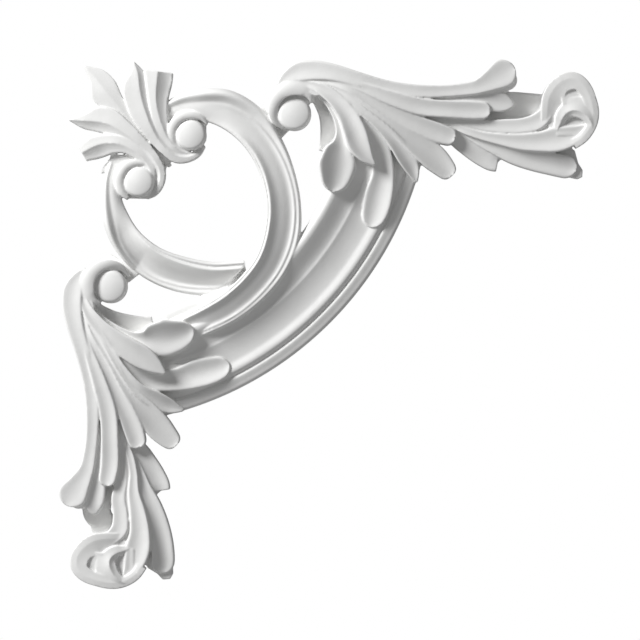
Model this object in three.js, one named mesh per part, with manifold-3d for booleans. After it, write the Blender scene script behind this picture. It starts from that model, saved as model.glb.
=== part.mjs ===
// Corner appliqué of moulded polyurethane: two acanthus arms, a curved rail between them,
// a heart of two crossing stems inside the corner and a palmette at its point.
// It is one casting with a flat back. The wall stands at Y = 0 and the carving rises towards -Y;
// X runs right and Z runs up. The origin is on the back face, behind the middle of the rail.
import * as THREE from "three";
import { mergeVertices } from "three/addons/utils/BufferGeometryUtils.js";
import Module from "manifold-3d";

const wasm = await Module();
wasm.setup();

// Driving dimensions, in millimetres.
const WIDTH = 272; // across the arms, over all
const RELIEF = 24; // from the back face to the highest ribs
const STOCK = 2; // left behind the back face and cut off flat at the end

// The ornament is drawn on squares, 544 of them to the full width, x to the right and y down.
const DRAWN_WIDTH = 544;
const SQUARE = WIDTH / DRAWN_WIDTH;
const ORIGIN = { x: 304, y: 296 };

// The second arm is the first one turned over about a line near the corner's diagonal.
const FOLD = { angle: THREE.MathUtils.degToRad(45.65), x: 320, y: 320, right: 3.6, down: -3.44 };

const RIM = 0.85; // where a lobe's raised rim runs, between its middle at 0 and its edge at 1
const ACROSS = [-1, -RIM, 0, RIM, 1]; // places across a lobe, from its right edge to its left
const EDGE_FALL = 0.7; // squares that a lobe falls outside its rim
const ROUND_FALL = 2;
const STATION_GAP = 18; // squares between the stations along a stroke, about
const FEWEST_STEPS = 2; // from one end of a stroke to the other
const TIP_STATIONS = 3;
const TIP_END = 0.995; // where a round tip's last station lies, as a share of its length
const SLOPE_STEP = 0.5; // squares either side of a station, for its direction
const FACET_ALLOWANCE = 0.4; // squares on each side, as straight facets cut off a curved edge

const PETAL_ACROSS = [-1, -0.5, 0, 0.5, 1];
const PETAL_GAP = 12;
const PETAL_EDGE = 0.5; // squares that each slope falls besides its steepness
const PETAL_TURN_UP = 0.3; // how far the slopes flatten out at their edges
const KEEL_POWER = 0.8; // below 1 the two slopes are hollow towards their crest
const TURN_UP_POWER = 4;

// Every stroke is a row of [x, y, half width, height], the first three in squares and the height
// as a share of the relief. It runs from its root to its tip. Before its rows stand its depth and
// its tip: 0 for an end that its widths close, or the power of the curve that rounds the end.
// After them may stand its lean: how far it rises towards the left of its run, as a slope.
const LEAF = {
  rib_top: flute(0.08, 2, [
    [278, 86, 2, 0.84], [287, 77.5, 6, 0.89], [298, 72.5, 9.5, 0.92], [312, 70.8, 9.8, 0.94],
    [332, 72.8, 8.5, 0.95], [355, 78.8, 7.3, 0.94], [390, 87.8, 6.3, 0.88], [420, 91.5, 6.3, 0.84],
    [460, 90, 6.3, 0.78],
    [478, 86.8, 7.5, 0.77], [491, 80.5, 11, 0.75], [502, 74, 14.2, 0.73], [514, 66.5, 12.5, 0.7],
  ]),
  rib_top_side: round(0.12, 2, [
    [470, 90, 3, 0.74], [486, 88, 5.5, 0.74], [499, 84, 8, 0.72], [509, 80, 9, 0.7],
    [516, 76, 7.5, 0.68],
  ]),
  rib_middle: flute(0.12, 0, [
    [425, 97, 3, 0.68], [450, 95.5, 5.5, 0.71], [480, 98, 8, 0.69], [496, 101.5, 10.5, 0.66],
    [506, 103.5, 8, 0.63], [511, 104.3, 4.5, 0.61], [514.5, 105, 0.8, 0.59],
  ]),
  rib_lower: flute(0.14, 2.5, [
    [330, 79, 2, 0.9], [360, 87, 4.5, 0.93], [390, 98.2, 7, 0.9], [420, 107, 8.5, 0.84],
    [450, 109.5, 8.7, 0.79], [475, 110.5, 9, 0.74], [490, 111, 8, 0.72],
  ]),
  lobe_1: flute(0.2, 3, [
    [318, 80, 2, 0.9], [350, 88.5, 5.3, 0.94], [370, 101.5, 6, 0.9], [390, 112.5, 6.8, 0.85],
    [420, 126, 9, 0.78], [438, 133, 9.8, 0.73], [455, 138.5, 8.5, 0.68],
  ]),
  lobe_2: flute(0.2, 3, [
    [325, 86, 2, 0.9], [350, 98, 4, 0.93], [370, 112, 5, 0.9], [388, 123.5, 5.4, 0.85],
    [405, 136, 8.7, 0.79], [420, 147, 11.5, 0.73], [434, 157.5, 13, 0.67], [444, 167, 11, 0.62],
    [452, 176, 8, 0.58],
  ]),
  lobe_3: flute(0.2, 0, [
    [330, 92, 2, 0.9], [355, 107, 4, 0.93], [375, 122, 5, 0.89], [392, 138.5, 6.8, 0.82],
    [406, 157.5, 8.8, 0.7], [413, 170.5, 6.8, 0.6], [416.5, 182, 1.5, 0.52],
  ]),
  lobe_4: flute(0.17, 2, [
    [330, 92, 2, 0.9], [350, 104, 4, 0.92], [365, 120, 6, 0.86], [375, 137, 7.8, 0.76],
    [381.5, 155, 9.6, 0.64], [383, 175, 11.3, 0.55], [379, 195, 14, 0.49], [375, 212, 13, 0.46],
    [370, 227, 9, 0.43],
  ]),
  lobe_5: flute(0.22, 0, [
    [303, 83, 2, 0.9], [320, 89, 5.5, 0.94], [336, 101, 7.5, 0.94], [347, 115, 9.5, 0.93],
    [354, 130, 11.2, 0.91], [359, 144, 11.2, 0.87], [366, 156, 7.5, 0.81], [374.5, 165, 1.5, 0.74],
  ]),
  cup_back: flute(0.06, 0, [
    [311, 95, 2, 0.7], [319, 103, 5, 0.52], [325, 112, 7, 0.47], [328.5, 122, 8.5, 0.44],
    [329.5, 132, 9, 0.42], [329, 142, 9, 0.42], [326, 152, 7.5, 0.42],
  ], -0.5),
  cup: flute(0.2, 2, [
    [318, 92, 2, 0.76], [331, 106, 4.2, 0.72], [339, 120, 5.2, 0.71], [341.5, 134, 6, 0.72],
    [341, 144, 9.5, 0.74], [338.5, 153, 15, 0.76], [337.5, 163, 18.5, 0.77], [336, 175, 16.5, 0.76],
    [332, 192, 9, 0.74],
  ], -0.3),
  collar: round(0.06, 0, [
    [284, 129, 1.5, 0.58], [276.8, 122.8, 3, 0.68], [272.8, 113, 4.4, 0.78], [274.3, 103, 5.4, 0.84],
    [280.2, 94.3, 6.4, 0.88], [288.5, 89, 7.6, 0.91], [298, 87.4, 8.2, 0.92], [306.5, 90.8, 6.8, 0.91],
    [310.5, 97.5, 3.4, 0.87], [311.5, 102, 1.5, 0.82],
  ]),
  ball_seat: round(0.1, 0, [
    [281, 126, 2.5, 0.56], [277, 117, 2.5, 0.62], [277, 108, 2.5, 0.66], [281, 101, 2.5, 0.7],
    [288, 96.5, 2.5, 0.72], [296, 95.5, 2.5, 0.72], [304, 98.5, 2.5, 0.72], [309, 104, 2.5, 0.7],
  ]),
};
const SECOND_LEAF = {
  lobe_6: flute(0.16, 0, [
    [445, 126, 4, 0.52], [456, 138, 7.5, 0.52], [470, 148, 9, 0.5], [484, 157, 9.5, 0.47],
    [493, 161, 9.8, 0.46], [498, 162, 9.5, 0.45],
  ], 0.1),
  lobe_7: flute(0.16, 2, [
    [452, 125, 2.5, 0.56], [475, 139, 4, 0.56], [495, 148.5, 6, 0.55], [515, 156, 8.5, 0.54],
    [535, 161, 10, 0.52], [552, 164, 11, 0.5], [566, 166.5, 11.5, 0.48], [577, 168.5, 11, 0.46],
  ], 0.14),
  recess: flute(0.1, 0, [
    [482, 110, 10, 0.36], [496, 106.5, 13, 0.345], [512, 105.5, 14, 0.33], [528, 104.5, 12, 0.315],
    [543, 104, 10, 0.3],
  ]),
  curl_band: flute(0.1, 0, [
    [430, 110, 3, 0.6], [462, 121, 4.2, 0.62], [485, 125.5, 5.5, 0.62], [505, 126.3, 7, 0.63],
    [523, 125.5, 7.5, 0.64], [538, 121, 8.4, 0.66], [546, 112, 7, 0.7], [547.5, 103, 6, 0.74],
    [549, 96, 4, 0.77],
  ]),
  curl_bowl: round(0, 0, [
    [556, 132, 5, 0.69], [565, 129, 9, 0.69], [575, 126, 11, 0.685], [583, 125, 9, 0.68],
    [590, 126, 4, 0.68],
  ], -0.1),
  curl_cup: flute(0.14, 0, [
    [448, 123, 2, 0.6], [462, 129.5, 3.5, 0.64], [480, 135.5, 4, 0.64], [500, 139.5, 5.6, 0.64],
    [520, 142, 8, 0.65], [540, 141.8, 10, 0.66], [557, 139.5, 12.2, 0.68], [568, 137, 11, 0.69],
    [578, 133, 8, 0.7], [586, 128, 4, 0.71],
  ]),
};
// A petal's rows are [x, y, width on the left of its run, width on the right, height], along its
// crest. Before them stand the slopes of its two sides, left and right.
const CURL = {
  curl_ring: petal(0, 0.05, [
    [546.5, 121, 5, 11, 0.67], [546.8, 109, 5.5, 13, 0.74], [548.5, 98, 6.5, 14, 0.79],
    [553.5, 89, 7, 13, 0.83], [560.5, 82.2, 6.5, 12, 0.86], [568, 79, 6.5, 12, 0.87],
    [575.5, 79.7, 6.3, 11, 0.875], [581.8, 84, 6, 9, 0.875], [586, 90, 6, 8, 0.87],
    [590, 99.5, 5.8, 7, 0.86], [592.5, 110.5, 6, 6, 0.84], [591.8, 121, 6, 4, 0.81],
    [588, 130, 6, 4, 0.77], [581.5, 138, 6, 4, 0.73], [573, 143.5, 6, 4, 0.69],
  ]),
  curl_crest: petal(0.1, 0.5, [
    [556.5, 131, 3, 2, 0.68], [560, 124, 6, 3, 0.72], [562.7, 118, 8, 4, 0.77],
    [566.5, 113.3, 9, 5, 0.81], [572, 110.8, 12, 6, 0.845], [578, 111.3, 14, 6.5, 0.86],
    [584, 114.5, 13, 6, 0.855], [588.5, 119.5, 8, 5, 0.84], [591.5, 126, 4, 4, 0.8],
    [591, 133, 2, 2, 0.75],
  ]),
};
const PALMETTE = {
  centre: petal(0.08, 0.07, [
    [170, 166, 2, 2, 0.4], [160, 155, 2.5, 3, 0.5], [150, 143, 2.5, 3.5, 0.58],
    [135, 127, 3, 5, 0.64], [124, 113, 6, 7, 0.68], [115, 102, 11, 9, 0.7],
    [105, 91, 15, 14, 0.71], [96, 79, 7, 12, 0.7], [84, 66, 0.5, 0.5, 0.68],
  ]),
  inner_right: petal(0.02, 0.4, [
    [204, 145, 2, 2, 0.5], [197, 153, 4, 3, 0.56], [188, 157, 5, 4, 0.6],
    [177, 156, 7, 4.5, 0.64], [167, 149.5, 6.5, 4.5, 0.68], [158, 139, 8, 4, 0.7],
    [151, 126, 11, 6, 0.73], [146, 113, 14.5, 8, 0.74], [142, 100, 16, 9.5, 0.74],
    [139.5, 87, 16, 9.5, 0.74], [138, 74, 9, 6.5, 0.73], [134, 62, 0.5, 0.5, 0.71],
  ]),
  inner_left: petal(0.4, 0.02, [
    [146, 197, 2, 2.5, 0.5], [153, 192, 3, 4.5, 0.56], [159, 183, 3.5, 5, 0.6],
    [160, 172, 4, 5.5, 0.64], [155, 161.5, 4.5, 6, 0.68], [146, 150.5, 4.5, 7, 0.7],
    [134, 140, 6, 9, 0.73], [121, 131, 8, 12, 0.74], [110, 125, 9.5, 15, 0.74],
    [98, 122, 9.5, 15, 0.73], [84, 121, 7.5, 6.5, 0.72], [69, 120, 0.5, 0.5, 0.7],
  ]),
  outer_right: petal(0, 0.34, [
    [190, 153, 2, 2, 0.56], [182, 151.5, 3, 3.5, 0.6], [175, 147, 4, 4.5, 0.64],
    [168, 138.5, 5, 5, 0.66], [163, 128, 6, 6, 0.69], [159, 116, 6.5, 8.5, 0.71],
    [156.5, 104, 7, 11, 0.72], [156, 92, 8.5, 13.5, 0.72], [157, 81, 11, 15, 0.72],
    [158, 71.5, 13, 15, 0.71],
  ]),
  outer_left: petal(0.3, 0.04, [
    [147, 191, 2, 2, 0.56], [151, 183, 3.5, 3, 0.6], [151.5, 173.5, 4, 4, 0.64],
    [147, 164, 4.5, 5, 0.66], [139, 155, 5, 6, 0.69], [128, 147.5, 6.5, 7, 0.71],
    [115, 143.5, 9.5, 8, 0.72], [102, 144, 12.5, 9, 0.71], [91, 148, 12, 9, 0.7],
    [82, 153, 9, 7, 0.68],
  ]),
  spur: petal(0.2, 0.2, [
    [124, 159, 3, 3, 0.5], [114, 162.5, 4, 4, 0.52], [106.5, 167.5, 3.5, 3, 0.48],
    [101, 173, 0.5, 0.5, 0.42],
  ]),
};
// A low ledge fills the corner between the upper stem and the gap below the heart, and a thin
// collar runs round the upper side of each of the heart's balls.
const HEART_STROKES = {
  ledge: round(0.1, 0, [
    [229, 287, 1.5, 0.5], [217, 294, 3.5, 0.5], [200, 302.6, 5.5, 0.48], [182, 310, 6, 0.46],
    [163, 317.5, 6.5, 0.44],
  ]),
  collar_right: round(0.06, 0, [
    [176, 147, 2, 0.6], [172.3, 139, 3.4, 0.65], [171.8, 129.5, 4.2, 0.68], [176, 121, 4.4, 0.7],
    [184, 116, 4.2, 0.7], [193.5, 115.3, 3.6, 0.69], [201.5, 118.2, 2.4, 0.66], [207, 124, 1, 0.62],
  ]),
  collar_left: round(0.06, 0, [
    [150, 166.5, 1, 0.62], [143, 163.3, 2.4, 0.65], [133.5, 163.3, 3.6, 0.68], [125, 167.3, 4.2, 0.7],
    [120.3, 175, 4.4, 0.7], [119.7, 184.5, 4.2, 0.67], [122.8, 193, 3.4, 0.64], [128, 198.5, 2, 0.6],
  ]),
};
// The heart's two stems share one moulded section. From the inner edge it has two thin beads, a
// cove that falls away, a low ridge and a flat outer band. Near the balls it is plain and round.
// Rows: [x, y, width inside, width outside, place of the ridge, scale of the beads, height].
const STEM_OVER = [
  [164, 113, 8, 9, 0, 0, 0.52], [172, 110.5, 9, 11, 1, 0, 0.56], [184, 107.5, 10, 14, 1.5, 0, 0.6],
  [200, 106.5, 13, 17, 2, 0, 0.66], [222, 110, 16, 21, 5, 0.25, 0.7],
  [246, 122, 18.5, 20, 5.5, 0.7, 0.73], [266, 147, 17.5, 18, 8, 1, 0.75],
  [278, 175, 17, 17, 10, 1, 0.77], [282.5, 205, 16.5, 18.5, 12, 1, 0.78],
  [279, 235, 15.5, 21, 13.5, 1, 0.79], [268, 262, 13.5, 21, 14, 1, 0.79],
  [249, 284, 11, 21.5, 15.5, 1, 0.79], [226, 301, 8.5, 22, 17, 1, 0.78],
  [202, 314, 7.5, 21, 16, 1, 0.74], [184, 323, 8, 19, 14, 1, 0.62], [168, 329, 7, 14, 10, 1, 0.5],
];
const STEM_UNDER = [
  [118, 159, 7, 8, 1, 0, 0.48], [115.5, 167, 7.5, 8, 1, 0, 0.52], [112.5, 179, 8, 8.5, 1, 0, 0.58],
  [111.5, 195, 9, 9.5, 2, 0, 0.64], [115, 217, 13, 12.5, 4, 0.3, 0.68],
  [127, 241, 15.5, 15, 8, 0.8, 0.71], [152, 261, 15.5, 18.5, 13, 1.2, 0.72],
  [180, 273, 17, 19, 12.5, 1.7, 0.72], [210, 277.5, 16, 18, 10.5, 1.9, 0.71],
  [246, 273, 13, 17, 10, 1.9, 0.7],
];
// The beads, at scale 1: [squares from the inner edge, squares below the top of the section].
const STEM_BEADS = [[0, 3.5], [1.6, 0.8], [4.2, 0], [8.5, 3]];
const LEAST_BEAD = 0.3; // the scale at which the beads have faded out of the section
const COVE_SLOPE_OVER = 0.32;
const COVE_SLOPE_UNDER = 0.8;
const COVE_EASE = 0.25; // how much steeper the cove is near the beads
const RIDGE = { foot: 2.2, back: 1.2, rise: 0.8 };
const BAND_SLOPE = 0.12;
const STEM_EDGE = { width: 1, fall: 2.5 };
const PLAIN_FALL = 5; // squares that the plain section falls to its inner edge

// Where the lower stem passes behind the upper one it drops out of sight: outside this circle,
// which is the upper stem's inner edge, and to the right of this line.
const CROSSING = { x: 170.7, y: 206.4, radius: 95, rightOf: 200, height: 0.45 };

// The rail is an arc between the arms, from one angle in degrees to another. Its section is
// [radius in squares, height].
const RAIL = { x: 82.3, y: 75.1, from: 11, to: 79, stations: 16 };
const RAIL_SECTION = [
  [270, 0.46], [273, 0.575], [276, 0.61], [283, 0.57], [289, 0.51], [298, 0.45], [307, 0.41],
  [319, 0.366], [335, 0.36], [337, 0.305], [339.2, 0.345], [345, 0.315], [350.5, 0.26],
];

// The balls that the scrolls turn round: x, y, radius, height of the crown.
const BALLS = [
  [294.5, 113.8, 16.8, 0.82], [110.5, 286.5, 16.8, 0.82], [191, 135, 15.4, 0.72], [139, 182, 15.4, 0.72],
];
const BALL_DOME = 2.6; // squares that the crown stands above the rounded edge's start
const BALL_EDGE = { start: 0.7, fall: 3, power: 2.4 }; // start as a share of the ball's radius
const BALL_SIDES = 20;
const BALL_STEPS = 4;

// Flat beds behind the lobes: height, then the outline in squares.
const ARM_BEDS = {
  leaf: [0.45, [
    [298, 84], [330, 76], [380, 88], [430, 92], [480, 94], [486, 108], [474, 116], [452, 119],
    [450, 134], [436, 142], [440, 152], [418, 158], [410, 168], [398, 156], [386, 141], [384, 160],
    [380, 190], [368, 190], [364, 166], [352, 160], [346, 165], [340, 140], [334, 112], [312, 94],
  ]],
  ribs: [0.62, [
    [340, 80], [380, 88], [430, 92], [470, 92], [480, 100], [470, 116], [456, 122], [446, 126],
    [440, 128], [420, 126], [400, 122], [395, 134], [385, 134], [360, 116], [345, 104],
  ]],
  root: [0.9, [
    [290, 84], [302, 76], [330, 78], [352, 90], [352, 104], [340, 100], [322, 96], [314, 96], [306, 91],
  ]],
  second_leaf: [0.38, [
    [436, 112], [446, 116], [480, 120], [540, 116], [552, 128], [565, 140], [574, 150], [574, 170],
    [540, 166], [505, 156], [496, 164], [470, 152], [450, 142], [436, 130],
  ]],
  curl: [0.6, [
    [452, 119], [480, 123], [505, 124], [540, 118], [556, 124], [568, 134], [560, 146], [530, 146],
    [500, 141], [470, 132], [450, 124],
  ]],
  tip: [0.38, [[558, 148], [575, 150], [578.5, 163], [583, 170], [582.5, 177], [578, 179], [556, 174]]],
  curl_floor: [0.64, [
    [548, 118], [552, 106], [560, 98], [580, 98], [592, 112], [592, 124], [585, 136],
    [570, 142], [556, 138], [548, 126],
  ]],
  curl_crease: [0.8, [
    [562, 104], [561, 96], [565, 89], [571, 86], [579, 87], [586, 93], [590, 104], [589, 111],
    [583, 107], [577, 103.5], [569, 104],
  ]],
  stem_root: [0.52, [
    [162, 104], [172, 101], [182, 98], [198, 108], [206, 122], [206, 140], [196, 150], [178, 150],
    [172, 145], [164, 130],
  ]],
  socket: [0.3, [[262, 108], [268, 100], [276, 108], [284, 122], [290, 129], [282, 137], [272, 127]]],
};
const HEART_BEDS = {
  palmette: [0.36, [
    [135, 122], [150, 138], [162, 150], [170, 158], [170, 163.5], [166, 165], [164.5, 182], [158, 182],
    [150, 168], [140, 154], [125, 140],
  ]],
  ball_seat: [0.52, [
    [108, 160], [118, 158], [134, 159], [146, 164], [154, 174], [155, 186], [149, 195], [138, 198.5],
    [127, 195], [118, 188],
  ]],
};
// The second arm is carved a little differently: [x, y, reach, squares to the right, squares down],
// on the first arm's drawing, before it is turned over.
const NUDGES = [
  [295, 107, 38, 0, -7], [345, 165, 34, 8, -3], [385, 140, 30, 5, -1], [506, 104, 18, 10, -7],
  [505, 131, 24, 0, -6], [582, 172, 16, 4, -5], [580, 112, 20, -3, 1],
];
const MERGE = 1e-4; // millimetres within which corners are one
const REACH = 4 * WIDTH; // side of the block that cuts the back flat

// A lobe with a raised rim along each edge and a hollow between them.
function flute(depth, tip, path, lean = 0) {
  const fall = (u, half) => {
    const out = Math.abs(u);
    if (out <= RIM) return depth * half * (1 - (out / RIM) ** 2);
    return EDGE_FALL * ((out - RIM) / (1 - RIM)) ** 2;
  };
  return { path, tip, lean, fall };
}

// A lobe that is highest along its middle and rounds down to its edges.
function round(depth, tip, path, lean = 0) {
  return { path, tip, lean, fall: (u, half) => (EDGE_FALL + ROUND_FALL * depth * half) * u * u };
}

// Two slopes that meet in a sharp crest, each with its own steepness.
function petal(leftSlope, rightSlope, path) {
  return { leftSlope, rightSlope, path };
}

// A smooth curve through rows of numbers, placed by their distances apart on the drawing.
function curveThrough(path) {
  const gap = path.slice(1).map((p, i) => Math.hypot(p[0] - path[i][0], p[1] - path[i][1]));
  const start = [0];
  gap.forEach((g, i) => start.push(start[i] + g));
  const length = start.at(-1);
  const slope = path.map((p, i) =>
    p.map((value, k) => {
      if (i === 0) return (path[1][k] - value) / gap[0];
      if (i === path.length - 1) return (value - path[i - 1][k]) / gap[i - 1];
      const before = (value - path[i - 1][k]) / gap[i - 1];
      const after = (path[i + 1][k] - value) / gap[i];
      return (before * gap[i] + after * gap[i - 1]) / (gap[i] + gap[i - 1]);
    }),
  );
  const at = (distance) => {
    const i = Math.min(Math.max(start.findLastIndex((s) => s <= distance), 0), gap.length - 1);
    const t = (distance - start[i]) / gap[i];
    return path[i].map((a, k) => {
      const b = path[i + 1][k];
      const bend = (1 - t) * slope[i][k] - t * slope[i + 1][k] + (2 * t - 1) * ((b - a) / gap[i]);
      return a + (b - a) * t + t * (1 - t) * gap[i] * bend;
    });
  };
  return { length, at };
}

// Rows and directions along a path, with the part by which each closes in at a round tip.
function stationsOf(path, stationGap, tip = 0) {
  const { length, at } = curveThrough(path);
  const turn = tip ? at(length)[2] : 0;
  const steps = Math.max(FEWEST_STEPS, Math.round((length - turn) / stationGap));
  const spots = Array.from({ length: steps + 1 }, (_, i) => [((length - turn) * i) / steps, 1]);
  for (let i = 1; turn && i <= TIP_STATIONS; i++) {
    const gone = TIP_END * Math.sin(((i / TIP_STATIONS) * Math.PI) / 2);
    spots.push([length - turn + turn * gone, (1 - gone ** tip) ** (1 / tip)]);
  }
  return spots.map(([distance, narrowing]) => {
    const [x0, y0] = at(Math.max(distance - SLOPE_STEP, 0));
    const [x1, y1] = at(Math.min(distance + SLOPE_STEP, length));
    const run = Math.hypot(x1 - x0, y1 - y0);
    return { row: at(distance), along: [(x1 - x0) / run, (y1 - y0) / run], narrowing };
  });
}

// A place so many squares to the left of a run.
const beside = (x, y, along, left) => [x + along[1] * left, y - along[0] * left];

const toPlace = (x, y, height) => [(x - ORIGIN.x) * SQUARE, -height, (ORIGIN.y - y) * SQUARE];

function solidOf(geometry) {
  const bare = geometry.clone();
  bare.deleteAttribute("normal");
  bare.deleteAttribute("uv");
  const merged = mergeVertices(bare, MERGE);
  return new wasm.Manifold(
    new wasm.Mesh({
      numProp: 3,
      vertProperties: merged.getAttribute("position").array,
      triVerts: new Uint32Array(merged.index.array),
    }),
  );
}

// A block under a sheet: topAt(column, row) is a place on the sheet, as x, y and height, and the
// block's foot is behind the back face.
function blockUnder(columns, rows, topAt) {
  const geometry = new THREE.BoxGeometry(1, 1, 1, columns, 1, rows);
  const position = geometry.getAttribute("position");
  for (let i = 0; i < position.count; i++) {
    const column = Math.round((position.getX(i) + 0.5) * columns);
    const row = Math.round((position.getZ(i) + 0.5) * rows);
    const [x, y, height] = topAt(column, row);
    position.setXYZ(i, ...toPlace(x, y, position.getY(i) > 0 ? height : -STOCK));
  }
  return solidOf(geometry);
}

function strokeSolid({ path, tip, lean, fall }) {
  const stations = stationsOf(path, STATION_GAP, tip);
  return blockUnder(ACROSS.length - 1, stations.length - 1, (column, row) => {
    const { row: [x, y, width, height], along, narrowing } = stations[row];
    const u = ACROSS[column];
    const half = (width + FACET_ALLOWANCE) * narrowing;
    const depth = height * RELIEF + (lean * u * half - fall(u, half)) * SQUARE;
    return [...beside(x, y, along, u * half), depth];
  });
}

function petalSolid({ leftSlope, rightSlope, path }) {
  const stations = stationsOf(path, PETAL_GAP);
  return blockUnder(PETAL_ACROSS.length - 1, stations.length - 1, (column, row) => {
    const { row: [x, y, left, right, height], along } = stations[row];
    const u = PETAL_ACROSS[column];
    const [width, slope] = u > 0 ? [left, leftSlope] : [right, rightSlope];
    const out = Math.abs(u);
    const shape = (1 + PETAL_TURN_UP) * out ** KEEL_POWER - PETAL_TURN_UP * out ** TURN_UP_POWER;
    const depth = height * RELIEF - (PETAL_EDGE + slope * width) * shape * SQUARE;
    return [...beside(x, y, along, u * (width + FACET_ALLOWANCE)), depth];
  });
}

// Points of a stem's section: [squares from its middle line, squares below its top].
function stemSection([inner, outer, ridge, bead], slope) {
  const scale = Math.max(bead, LEAST_BEAD);
  const beads = STEM_BEADS.map(([place, drop]) => [scale * place - inner, scale * drop]);
  const [start, drop] = beads.at(-1);
  const half = (ridge - RIDGE.foot - start) / 2;
  const middle = drop + (1 + COVE_EASE) * slope * half;
  const foot = middle + (1 - COVE_EASE) * slope * half;
  const edge = foot + BAND_SLOPE * (outer - STEM_EDGE.width - ridge);
  const moulded = [
    ...beads,
    [start + half, middle],
    [ridge - RIDGE.foot, foot],
    [ridge, foot - RIDGE.rise],
    [ridge + RIDGE.back, foot],
    [outer - STEM_EDGE.width, edge],
    [outer, edge + STEM_EDGE.fall],
  ];
  const share = Math.min(bead, 1);
  return moulded.map(([place, below]) => {
    const inwards = Math.max(0, (ridge - place) / (ridge + inner));
    const plain = PLAIN_FALL * inwards ** 2 + (place === outer ? STEM_EDGE.fall : 0);
    return [place, share * below + (1 - share) * plain];
  });
}

// A stem of the heart; `side` is 1 with the outer edge on the left of its run.
function stemSolid(path, side, slope, limit = () => Infinity) {
  const stations = stationsOf(path, STATION_GAP);
  const sections = stations.map(({ row }) => stemSection(row.slice(2, 6), slope));
  return blockUnder(sections[0].length - 1, stations.length - 1, (column, row) => {
    const { row: [x, y], along } = stations[row];
    const height = stations[row].row.at(-1);
    const points = side > 0 ? sections[row] : sections[row].toReversed();
    const [across, below] = points[column];
    const [px, py] = beside(x, y, along, side * across);
    return [px, py, Math.min(height * RELIEF - below * SQUARE, limit(px, py))];
  });
}

function behindCrossing(x, y) {
  const outside = Math.hypot(x - CROSSING.x, y - CROSSING.y) > CROSSING.radius;
  return outside && x > CROSSING.rightOf ? CROSSING.height * RELIEF : Infinity;
}

function railSolid() {
  return blockUnder(RAIL_SECTION.length - 1, RAIL.stations, (column, row) => {
    const angle = THREE.MathUtils.degToRad(RAIL.from + ((RAIL.to - RAIL.from) * row) / RAIL.stations);
    const [radius, height] = RAIL_SECTION[column];
    return [RAIL.x + Math.cos(angle) * radius, RAIL.y + Math.sin(angle) * radius, height * RELIEF];
  });
}

function ballSolid([x, y, radius, height]) {
  const size = radius * SQUARE;
  const profile = [new THREE.Vector2(0, -STOCK), new THREE.Vector2(size, -STOCK)];
  for (let i = 0; i <= BALL_STEPS; i++) {
    const out = i === BALL_STEPS ? 0 : Math.cos(((i / BALL_STEPS) * Math.PI) / 2);
    const edge = Math.max(0, (out - BALL_EDGE.start) / (1 - BALL_EDGE.start));
    const below = BALL_DOME * out ** 2 + BALL_EDGE.fall * edge ** BALL_EDGE.power;
    profile.push(new THREE.Vector2(size * out, height * RELIEF - below * SQUARE));
  }
  const geometry = new THREE.LatheGeometry(profile, BALL_SIDES);
  const [px, , pz] = toPlace(x, y, 0);
  geometry.rotateX(Math.PI).translate(px, 0, pz);
  return solidOf(geometry);
}

function bedSolid([height, outline]) {
  const corners = outline.map(([x, y]) => {
    const [px, , pz] = toPlace(x, y, 0);
    return new THREE.Vector2(px, pz);
  });
  const depth = height * RELIEF + STOCK;
  const geometry = new THREE.ExtrudeGeometry(new THREE.Shape(corners), { depth, bevelEnabled: false });
  geometry.translate(0, 0, -STOCK).rotateX(Math.PI / 2);
  return solidOf(geometry);
}

// The same rows on the other side of the fold, with the second arm's small differences.
function folded(rows) {
  const [cos, sin] = [Math.cos(2 * FOLD.angle), Math.sin(2 * FOLD.angle)];
  return rows.map(([x, y, ...rest]) => {
    let [dx, dy] = [x - FOLD.x, y - FOLD.y];
    for (const [nearX, nearY, reach, right, down] of NUDGES) {
      const share = Math.exp(-((x - nearX) ** 2 + (y - nearY) ** 2) / reach ** 2);
      dx += share * right;
      dy += share * down;
    }
    return [
      cos * dx + sin * dy + FOLD.x + FOLD.right,
      sin * dx - cos * dy + FOLD.y + FOLD.down,
      ...rest,
    ];
  });
}

const foldedStroke = (stroke) => ({ ...stroke, path: folded(stroke.path), lean: -stroke.lean });

// Folding a petal over changes its two sides round.
function foldedPetal({ leftSlope, rightSlope, path }) {
  const rows = path.map(([x, y, left, right, height]) => [x, y, right, left, height]);
  return petal(rightSlope, leftSlope, folded(rows));
}

function armSolids() {
  const strokes = [...Object.values(LEAF), ...Object.values(SECOND_LEAF)];
  const beds = Object.values(ARM_BEDS);
  return [
    ...strokes.flatMap((stroke) => [strokeSolid(stroke), strokeSolid(foldedStroke(stroke))]),
    ...Object.values(CURL).flatMap((one) => [petalSolid(one), petalSolid(foldedPetal(one))]),
    ...beds.flatMap(([height, outline]) => [
      bedSolid([height, outline]),
      bedSolid([height, folded(outline)]),
    ]),
  ];
}

function heartSolids() {
  return [
    stemSolid(STEM_UNDER, -1, COVE_SLOPE_UNDER, behindCrossing),
    stemSolid(STEM_OVER, 1, COVE_SLOPE_OVER),
    ...Object.values(HEART_STROKES).map(strokeSolid),
    ...Object.values(PALMETTE).map(petalSolid),
    ...Object.values(HEART_BEDS).map(bedSolid),
    ...BALLS.map(ballSolid),
  ];
}

function onlaySolid() {
  const whole = [railSolid(), ...heartSolids(), ...armSolids()].reduce((sum, one) => sum.add(one));
  const behind = new THREE.BoxGeometry(REACH, REACH, REACH).translate(0, REACH / 2, 0);
  return whole.subtract(solidOf(behind));
}

function matt(name, colour) {
  return new THREE.MeshStandardMaterial({ name, color: colour, roughness: 0.75, metalness: 0 });
}

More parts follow.
